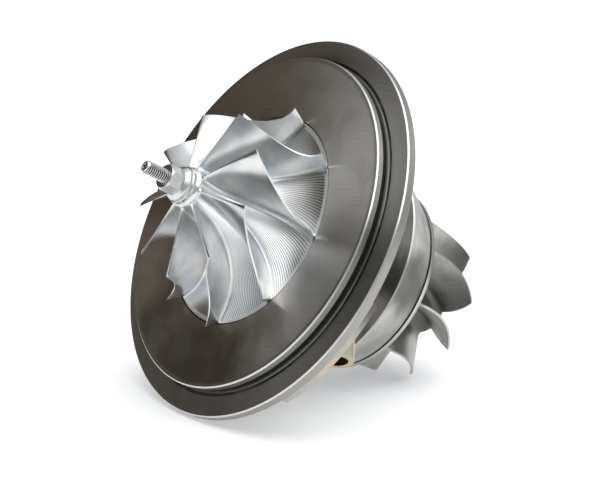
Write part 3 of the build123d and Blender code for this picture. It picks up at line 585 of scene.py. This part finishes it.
def blade_point(wheel, way, height):
    """(radius, place, angle) on a blade's mean surface."""
    low, high = wheel["hub"](way), wheel["shroud"](way)
    bow = wheel["edge_bow"] * way ** 4 * 4 * height * (1 - height)
    return (lerp(low[0], high[0], height), lerp(low[1], high[1], height) + bow,
            lerp(wheel["root_angle"](way), wheel["tip_angle"](way), height))


def side_angle(wheel, way, height, across):
    """Angle of a point that stands off the mean surface by a distance across the blade."""
    before = blade_point(wheel, max(way - 0.01, 0), height)
    after = blade_point(wheel, min(way + 0.01, 1), height)
    here = blade_point(wheel, way, height)
    run = math.hypot(after[0] - before[0], after[1] - before[1])
    turn = here[0] * math.radians(after[2] - before[2])
    return here[2] + math.degrees(across * math.hypot(1, turn / run) / here[0])


def closing(wheel, way):
    """Share of the full thickness, rounded to nothing at the leading and trailing edges."""
    lead = max(1 - way / wheel["lead"], 0)
    trail = max(1 - (1 - way) / wheel["trail"], 0)
    return math.sqrt(max(1 - lead ** 2, 0)) * math.sqrt(max(1 - trail ** 2, 0))


def side_point(wheel, way, height, side, across=0.0):
    """Point on a blade's side, or off it by a distance across."""
    root, tip = wheel["thickness"](way)
    half = lerp(root, tip, height) / 2 * closing(wheel, way)
    radius, place, _ = blade_point(wheel, way, height)
    return radius, place, side_angle(wheel, way, height, side * (half + across))


def fillet_point(wheel, way, share, side):
    """Point on the round between a blade's side, at share 0, and the hub, at share 1."""
    low, high = wheel["hub"](way), wheel["shroud"](way)
    size = wheel["fillet"] * closing(wheel, way)
    height = size * (1 - math.sin(share * math.pi / 2)) / math.hypot(high[0] - low[0], high[1] - low[1])
    return side_point(wheel, way, height, side, size * (1 - math.cos(share * math.pi / 2)))


def floor_point(wheel, way, share, pitch):
    """Point on the hub between two blades, with the ridges that a round-nosed cutter leaves."""
    inward = way + (1 - way) * wheel["scallop"] * math.sin(share * math.pi) ** 2
    near = fillet_point(wheel, way, 1, 1)[2]
    far = fillet_point(wheel, way, 1, -1)[2] + pitch
    low, high = wheel["hub"](inward), wheel["shroud"](inward)
    depth = 0.0
    if wheel["passes"]:
        width = low[0] * math.radians(far - near) / wheel["passes"]
        phase = share * wheel["passes"] % 1
        depth = width ** 2 / (8 * wheel["cutter"]) * (1 - (2 * phase - 1) ** 2)
    length = math.hypot(high[0] - low[0], high[1] - low[1])
    height = -depth / length
    return lerp(low[0], high[0], height), lerp(low[1], high[1], height), lerp(near, far, share)


def passage_columns(wheel):
    """Kind and share of each column of a passage, from one blade's tip to the next one's."""
    sides, rounds = wheel["side_steps"], wheel["fillet_steps"]
    floor_steps = wheel["floor_steps"]
    columns = [("tip", 1.0)]
    columns += [("side", 1 - step / sides) for step in range(sides)]
    columns += [("fillet", step / rounds) for step in range(rounds)]
    columns += [("floor", step / floor_steps) for step in range(floor_steps)]
    columns += [("next_fillet", 1 - step / rounds) for step in range(rounds)]
    columns += [("next_side", (step + 1) / sides) for step in range(sides)]
    return columns


def passage_rows(wheel):
    """Ways of the rows, close together where the edges are rounded."""
    ends = wheel["edge_steps"]
    angles = [step / ends * math.pi / 2 for step in range(ends)]
    rows = [wheel["lead"] * (1 - math.cos(angle)) for angle in angles]
    middle = wheel["rows"]
    rows += [lerp(wheel["lead"], 1 - wheel["trail"], step / middle) for step in range(middle)]
    rows += [1 - wheel["trail"] * (1 - math.cos(angle)) for angle in reversed(angles)]
    rows.insert(ends + middle, 1 - wheel["trail"])
    return rows


def passage_point(wheel, kind, share, way, pitch):
    """Point of one column and row of a passage."""
    fillet = wheel["fillet"] * closing(wheel, way)
    low, high = wheel["hub"](way), wheel["shroud"](way)
    foot = fillet / math.hypot(high[0] - low[0], high[1] - low[1])
    if kind == "tip":
        return side_point(wheel, way, 1.0, -1)
    if kind == "side":
        return side_point(wheel, way, lerp(foot, 1.0, share), 1)
    if kind == "fillet":
        return fillet_point(wheel, way, share, 1)
    if kind == "floor":
        return floor_point(wheel, way, share, pitch)
    if kind == "next_fillet":
        radius, place, angle = fillet_point(wheel, way, share, -1)
    else:
        radius, place, angle = side_point(wheel, way, lerp(foot, 1.0, share), -1)
    return radius, place, angle + pitch


def bladed_shape(wheel):
    """Bmesh of a wheel's passages, open in front of the blades and behind them."""
    shape = bmesh.new()
    flow = shape.loops.layers.uv.new("flow")
    columns, rows = passage_columns(wheel), passage_rows(wheel)
    pitch = 360 / wheel["blades"]
    across, along = len(columns) - 1, len(rows) - 1
    bmesh.ops.create_grid(shape, x_segments=across, y_segments=along, size=0.5)
    cells = {vert: (round((vert.co.x + 0.5) * across), round((vert.co.y + 0.5) * along))
             for vert in shape.verts}
    first_floor = [kind for kind, _ in columns].index("floor")
    for face in shape.faces:
        column = min(cells[vert][0] for vert in face.verts)
        on_floor = 0 <= column - first_floor < wheel["floor_steps"]
        face.material_index = EDGE if column == 0 else FLOOR if on_floor else SIDE
        for corner in face.loops:
            column, row = cells[corner.vert]
            share = columns[column][1]
            if on_floor:
                share = (column - first_floor) / wheel["floor_steps"] * wheel["passes"]
            corner[flow].uv = (share, rows[row])
    for vert, (column, row) in cells.items():
        kind, share = columns[column]
        vert.co = at(*passage_point(wheel, kind, share, rows[row], pitch))
    first = shape.faces[:]
    for number in range(1, wheel["blades"]):
        copy = bmesh.ops.duplicate(shape, geom=first)["geom"]
        turn = Matrix.Rotation(math.radians(pitch * number), 3, "Y")
        points = [part for part in copy if isinstance(part, bmesh.types.BMVert)]
        bmesh.ops.rotate(shape, cent=(0, 0, 0), matrix=turn, verts=points)
    bmesh.ops.remove_doubles(shape, verts=shape.verts, dist=MERGE * MM)
    bmesh.ops.dissolve_degenerate(shape, edges=shape.edges, dist=MERGE / 2 * MM)
    return shape


def powers(weights, share):
    """Share of a blade's wrap, from the weights of its first three powers."""
    return sum(weight * share ** (power + 1) for power, weight in enumerate(weights))


def compressor_hub(way):
    """Line of the compressor's hub, which leaves the nose along the shaft and ends square to it."""
    return quarter((9.8, -45.7), (50.8, -6.7), way, True)


def compressor_shroud(way):
    """Line that the compressor's blade tips sweep."""
    run = math.sin(way * math.pi / 2) ** 1.22
    flare = (1 - math.cos(way * math.pi / 2)) ** 1.49
    return lerp(40.2, 55.05, flare), lerp(-40.5, -13.9, run)


# The blades' outline and angles were fitted to the photograph
LEADING_ANGLE = 250.4
WHEEL_BORE = 4.02
compressor = {
    "blades": 9, "lead": 0.03, "trail": 0.008, "edge_steps": 5, "rows": 42,
    "side_steps": 10, "fillet_steps": 5, "floor_steps": 90, "passes": 18, "cutter": 9.0,
    "fillet": 2.0, "scallop": 0.0, "edge_bow": 0.0,
    "hub": compressor_hub,
    "shroud": compressor_shroud,
    "root_angle": lambda way: LEADING_ANGLE + 40.3 * powers((1.6, -1.1, 0.5), way),
    "tip_angle": lambda way: LEADING_ANGLE + 37.7 * powers((1.88, -0.81, -0.07), way),
    "thickness": lambda way: (2.2 * (0.55 + 0.45 * math.sin(math.pi * way)), 0.75),
}
shape = bladed_shape(compressor)
front, rear = open_rings(shape)
front = sweep(shape, front, [(9.3, -46.9), (8.8, -47.4), (8.8, -48.9), (8.6, -49.1), (WHEEL_BORE, -49.1)])
rear = sweep(shape, rear, [(50.8, -4.5), (12.35, -4.5), (12.0, -4.15), (12.0, 0.8), (WHEEL_BORE, 0.8)])
bmesh.ops.bridge_loops(shape, edges=front + rear)
for face in shape.faces:
    place = face.calc_center_median().y / MM
    if place > -6.75:
        face.material_index = EDGE
    elif place < -45.8:
        face.material_index = NOSE
bmesh.ops.recalc_face_normals(shape, faces=shape.faces)
piece("compressor_wheel_finished", shape, [milled_blade, wheel_edge, milled_floor, turned_edge], "rotor",
      stands_for=["compressor_wheel"])


# Places along the shaft where the turbine blades' tips start and end
TURBINE_TIPS = (77.0, 107.6)
# Corner radius and end of the hexagon that turns the wheel when it is assembled, 17 across its flats
HEXAGON_RADIUS = 17.0 / math.sqrt(3)
HEXAGON_END = 117.0
# Place of the disc's back, where the shaft is welded on
WELD = 70.0


def turbine_hub(way):
    """Line of the turbine's hub, which leaves the back disc square to the shaft and ends along it."""
    return quarter((40.5, 71.6), (13.0, 112.0), way, False)


def turbine_shroud(way):
    """Line that the turbine's blade tips sweep."""
    return 36.95 + 3.2 * (1 - way) ** 0.64, lerp(*TURBINE_TIPS, way)


def turbine_curl(place):
    """Angle of a turbine blade at a place along the shaft. The blades curl where the gas leaves them."""
    start, end = TURBINE_TIPS
    return 15.3 + 21.0 * max((place - start) / (end - start), 0) ** 3


turbine = {
    "blades": 9, "lead": 0.03, "trail": 0.02, "edge_steps": 5, "rows": 30,
    "side_steps": 12, "fillet_steps": 5, "floor_steps": 16, "passes": 0, "cutter": 0.0,
    "fillet": 3.0, "scallop": 0.16, "edge_bow": 1.2,
    "hub": turbine_hub,
    "shroud": turbine_shroud,
    "root_angle": lambda way: turbine_curl(turbine_hub(way)[1]),
    "tip_angle": lambda way: turbine_curl(turbine_shroud(way)[1]),
    "thickness": lambda way: (3.4 * (0.45 + 0.55 * math.sin(math.pi * min(way + 0.15, 1))), 1.15),
}
shape = bladed_shape(turbine)
front, rear = open_rings(shape)
sweep(shape, front, [(None, WELD), (12.6, WELD), (AXIS, WELD)])
sweep(shape, rear, [(12.4, 113.4), (11.6, 114.0), (AXIS, 114.0)])
hexagon = bmesh.ops.create_circle(shape, segments=6, radius=HEXAGON_RADIUS * MM)["verts"]
upright = Matrix.Rotation(math.pi / 2, 3, "X")
bmesh.ops.rotate(shape, verts=hexagon, cent=(0, 0, 0), matrix=upright)
bmesh.ops.translate(shape, verts=hexagon, vec=(0, 113.5 * MM, 0))
ring = list({edge for vert in hexagon for edge in vert.link_edges})
sweep(shape, ring, [(HEXAGON_RADIUS, HEXAGON_END - 1), (HEXAGON_RADIUS - 1, HEXAGON_END),
                    (AXIS, HEXAGON_END)])
bmesh.ops.remove_doubles(shape, verts=shape.verts, dist=1.5 * AXIS * MM)
bmesh.ops.recalc_face_normals(shape, faces=shape.faces)
piece("turbine_wheel_finished", shape, [cast_alloy, ground_edge, cast_alloy], "rotor",
      stands_for=["turbine_wheel"])


# Shaft, with a rolled thread on its free end

def turned_shape(corners, segments=96):
    """Bmesh of a profile of (radius, place) corners spun about the shaft."""
    shape = bmesh.new()
    points = [shape.verts.new(at(radius, place, 0)) for radius, place in corners]
    line = [shape.edges.new(pair) for pair in zip(points, points[1:])]
    bmesh.ops.spin(shape, geom=points + line, cent=(0, 0, 0), axis=(0, 1, 0), angle=math.tau,
                   steps=segments, use_merge=True)
    bmesh.ops.remove_doubles(shape, verts=shape.verts, dist=MERGE * MM)
    return shape


# The real thread has a pitch of 0.91, which is drawn a little coarser so that it shows
THREAD_RADIUS = 3.175
THREAD_PITCH = 1.15
THREAD_DEPTH = 0.62
THREAD_START = -71.9
THREAD_TURNS = 12
THREAD_END = THREAD_START + (THREAD_TURNS - 1) * THREAD_PITCH
THREAD_STEPS = 48
# Places in a turn where the root ends, the crest starts and ends, and the next root starts
ROOT_END, CREST_START, CREST_END, NEXT_ROOT = 0.25, 0.55, 0.75, 1.05
STUD_END = -70.6
CHAMFER_RADIUS = 2.35


def thread_profile():
    """(radius, place) corners of one cut through the thread's flanks, crests and roots."""
    corners = []
    root = THREAD_RADIUS - THREAD_DEPTH
    for turn in range(THREAD_TURNS):
        start = THREAD_START + turn * THREAD_PITCH
        corners += [(root, start), (root, start + ROOT_END), (THREAD_RADIUS, start + CREST_START),
                    (THREAD_RADIUS, start + CREST_END), (root, start + NEXT_ROOT)]
    return corners


def cut_off(shape, place, way):
    """Cut away what lies past a place along the shaft, in front of it for -1 and behind it for 1."""
    bmesh.ops.bisect_plane(shape, geom=shape.verts[:] + shape.edges[:] + shape.faces[:], dist=1e-7,
                           plane_co=(0, place * MM, 0), plane_no=(0, way, 0), clear_outer=True)


def threaded_stud():
    """Bmesh of the thread's helix with a chamfered, centre-drilled end."""
    shape = bmesh.new()
    points = [shape.verts.new(at(radius, place, 0)) for radius, place in thread_profile()]
    line = [shape.edges.new(pair) for pair in zip(points, points[1:])]
    bmesh.ops.spin(shape, geom=points + line, cent=(0, 0, 0), axis=(0, 1, 0), angle=math.tau,
                   dvec=(0, THREAD_PITCH * MM / THREAD_STEPS, 0), steps=THREAD_STEPS)
    bmesh.ops.remove_doubles(shape, verts=shape.verts, dist=2 * MERGE * MM)
    cut_off(shape, STUD_END, -1)
    cut_off(shape, THREAD_END, 1)
    for vert in shape.verts:
        radius = math.hypot(vert.co.x, vert.co.z)
        limit = (CHAMFER_RADIUS + vert.co.y / MM - STUD_END) * MM
        if radius > limit:
            vert.co = Vector((vert.co.x * limit / radius, vert.co.y, vert.co.z * limit / radius))
    tip, foot = open_rings(shape)
    sweep(shape, tip, [(1.3, STUD_END), (0.5, STUD_END + 0.8), (AXIS, STUD_END + 1.1)])
    sweep(shape, foot, [(AXIS, THREAD_END)])
    bmesh.ops.recalc_face_normals(shape, faces=shape.faces)
    return shape


piece("threaded_stud", threaded_stud(), [stud_steel], "rotor", sharp=25)
shape = turned_shape([
    (AXIS, -59.1), (3.1, -59.1), (3.1, -48.0), (4.0, -47.0), (4.0, 18.2), (8.0, 18.2), (8.0, 34.3),
    (7.5, 34.8), (7.5, 42.4), (8.0, 42.9), (8.0, 58.4), (12.6, 59.9), (12.6, WELD), (AXIS, WELD),
])
bmesh.ops.recalc_face_normals(shape, faces=shape.faces)
piece("shaft_finished", shape, [ground_steel], "rotor", stands_for=["shaft"])


# Stage

floor_mesh = bpy.data.meshes.new("floor")
shape = bmesh.new()
bmesh.ops.create_grid(shape, x_segments=1, y_segments=1, size=6.0)
floor_turn = Vector((0, 0, 1)).rotation_difference(Vector(FLOOR_NORMAL)).to_matrix().to_4x4()
floor_place = Matrix.Translation(Vector(FLOOR_TOUCH) * MM) @ floor_turn
bmesh.ops.transform(shape, matrix=floor_place, verts=shape.verts)
shape.to_mesh(floor_mesh)
shape.free()
floor = bpy.data.objects.new("floor", floor_mesh)
bpy.context.scene.collection.objects.link(floor)

# The floor lights itself more the further it is from the object, so that it ends in no horizon. Only
# the camera and mirrored rays see that light, and from below the floor is clear.
material, tree = blank_material("white_floor")
path = add(tree, "ShaderNodeLightPath")
geometry = add(tree, "ShaderNodeNewGeometry")
diffuse = add(tree, "ShaderNodeBsdfDiffuse", {"Color": linear("#F2F2F2")})
place = add(tree, "ShaderNodeTexCoord").outputs["Object"]
away = add(tree, "ShaderNodeVectorMath", {0: place}, operation="LENGTH")
away = add(tree, "ShaderNodeMapRange", {0: away, 1: 0.1, 2: 0.9, 3: 0.37, 4: 0.6}, **SMOOTH)
lift = add(tree, "ShaderNodeEmission", {"Color": linear("#F7F9FD"), "Strength": away})
lit = add(tree, "ShaderNodeAddShader", {0: diffuse, 1: lift})
clear_sight = add(tree, "ShaderNodeMath", {0: path.outputs["Is Camera Ray"],
                                           1: path.outputs["Is Glossy Ray"]}, operation="MAXIMUM")
seen = add(tree, "ShaderNodeMixShader", {0: clear_sight, 1: diffuse, 2: lit})
clear = add(tree, "ShaderNodeBsdfTransparent")
sides = add(tree, "ShaderNodeMixShader", {0: geometry.outputs["Backfacing"], 1: seen, 2: clear})
add(tree, "ShaderNodeOutputMaterial", {"Surface": sides})
floor.data.materials.append(material)

# A room with a dark wall to the left of the camera and a pale ceiling, which the turned metal shows
true_up = Vector(FLOOR_NORMAL).normalized()
WALL_WAY = (-0.853, -0.457, -0.250)
world = bpy.data.worlds.new("studio")
bpy.context.scene.world = world
world.use_nodes = True
world.node_tree.nodes.clear()
tree = world.node_tree
path = add(tree, "ShaderNodeLightPath")
where = add(tree, "ShaderNodeTexCoord").outputs["Generated"]
height = add(tree, "ShaderNodeVectorMath", {0: where, 1: tuple(true_up)}, operation="DOT_PRODUCT")
facing = add(tree, "ShaderNodeVectorMath", {0: where, 1: WALL_WAY}, operation="DOT_PRODUCT")
under = add(tree, "ShaderNodeMapRange", {0: height, 1: 0.82, 2: 0.5}, **SMOOTH)
above = add(tree, "ShaderNodeMapRange", {0: height, 1: -0.1, 2: 0.1}, **SMOOTH)
ahead = add(tree, "ShaderNodeMapRange", {0: facing, 1: -0.1, 2: 0.5}, **SMOOTH)
wall = add(tree, "ShaderNodeMath", {0: under, 1: above}, operation="MULTIPLY")
wall = add(tree, "ShaderNodeMath", {0: wall, 1: ahead}, operation="MULTIPLY")
ceiling = add(tree, "ShaderNodeMapRange", {0: height, 1: 0.5, 2: 0.85}, **SMOOTH)
colour = add(tree, "ShaderNodeMix", {0: ceiling, "A": linear("#B9BDBF"), "B": linear("#FFFFFF")},
             **COLOUR)
colour = add(tree, "ShaderNodeMix", {0: wall, "A": colour, "B": linear("#4E463A")}, **COLOUR)
around_object = add(tree, "ShaderNodeBackground", {"Color": colour, "Strength": 0.95})
behind = add(tree, "ShaderNodeBackground", {"Color": (1, 1, 1, 1), "Strength": 1.0})
mix = add(tree, "ShaderNodeMixShader", {0: path.outputs["Is Camera Ray"], 1: around_object, 2: behind})
add(tree, "ShaderNodeOutputWorld", {"Surface": mix})

# One soft lamp above the object, a little to the right and towards the camera
LAMP_REACH = 1.2
lamp_place = (true_up + right * 0.35 + back * 0.35).normalized() * LAMP_REACH
lamp_data = bpy.data.lights.new("top_lamp", "AREA")
lamp_data.shape = "SQUARE"
lamp_data.size = 1.6
lamp_data.energy = 11.5
lamp = bpy.data.objects.new("top_lamp", lamp_data)
bpy.context.scene.collection.objects.link(lamp)
lamp.location = lamp_place
lamp.rotation_mode = "QUATERNION"
lamp.rotation_quaternion = (Vector((0, 0.03, 0)) - lamp_place).to_track_quat("-Z", "Y")

bpy.context.scene.view_settings.view_transform = "Standard"
